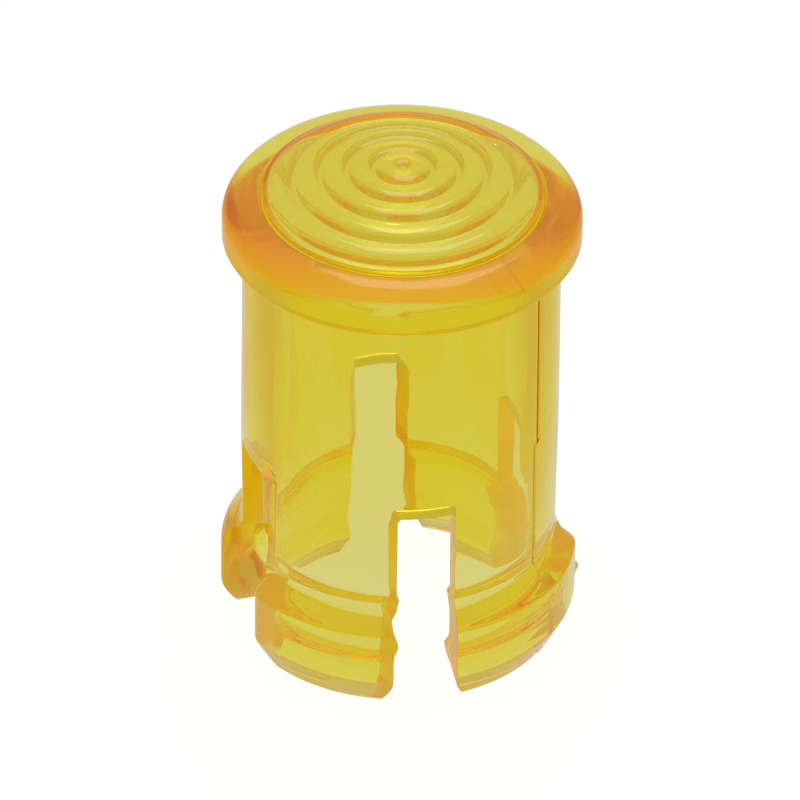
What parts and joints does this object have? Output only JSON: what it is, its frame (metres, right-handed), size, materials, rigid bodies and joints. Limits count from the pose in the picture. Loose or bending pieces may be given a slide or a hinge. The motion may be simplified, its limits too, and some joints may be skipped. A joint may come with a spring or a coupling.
{
  "type": "panel lamp lens cap",
  "caption": "Clear amber snap-in lens cap for a small panel lamp: ridged domed window, round flange, thin tube, and slotted fingers with barbed feet and inner beads.",
  "frame": {"origin": "on the centre axis, in the plane of the flange's underside, which sits on the panel", "axes": "+Z out of the panel through the lens window, -Y through the front slot, +X to the right seen from the front with the lens up"},
  "size_m": [0.0072, 0.0072, 0.0107],
  "materials": {
    "amber_resin": "transparent amber resin, polished mould finish"
  },
  "bodies": {
    "lens_body": {"lens_window": "amber_resin", "flange": "amber_resin", "barrel": "amber_resin"},
    "finger_front_left": {"finger_front_left_stem": "amber_resin", "finger_front_left_barb": "amber_resin", "finger_front_left_beads": "amber_resin"},
    "finger_front_right": {"finger_front_right_stem": "amber_resin", "finger_front_right_barb": "amber_resin", "finger_front_right_beads": "amber_resin"},
    "finger_rear_right": {"finger_rear_right_stem": "amber_resin", "finger_rear_right_barb": "amber_resin", "finger_rear_right_beads": "amber_resin"},
    "finger_rear_left": {"finger_rear_left_stem": "amber_resin", "finger_rear_left_barb": "amber_resin", "finger_rear_left_beads": "amber_resin"}
  },
  "joints": [
    {"name": "finger_front_left_flex", "type": "hinge", "parent": "lens_body", "child": "finger_front_left", "pos_m": [-0.00174, -0.00206, -0.0047], "axis": [0.764, -0.6452, 0], "range_deg": [-6, 12]},
    {"name": "finger_front_right_flex", "type": "hinge", "parent": "lens_body", "child": "finger_front_right", "pos_m": [0.00194, -0.00175, -0.0047], "axis": [0.6713, 0.7412, 0], "range_deg": [-6, 12]},
    {"name": "finger_rear_right_flex", "type": "hinge", "parent": "lens_body", "child": "finger_rear_right", "pos_m": [0.00174, 0.00206, -0.0047], "axis": [-0.764, 0.6452, 0], "range_deg": [-6, 12]},
    {"name": "finger_rear_left_flex", "type": "hinge", "parent": "lens_body", "child": "finger_rear_left", "pos_m": [-0.00194, 0.00175, -0.0047], "axis": [-0.6713, -0.7412, 0], "range_deg": [-6, 12]}
  ]
}
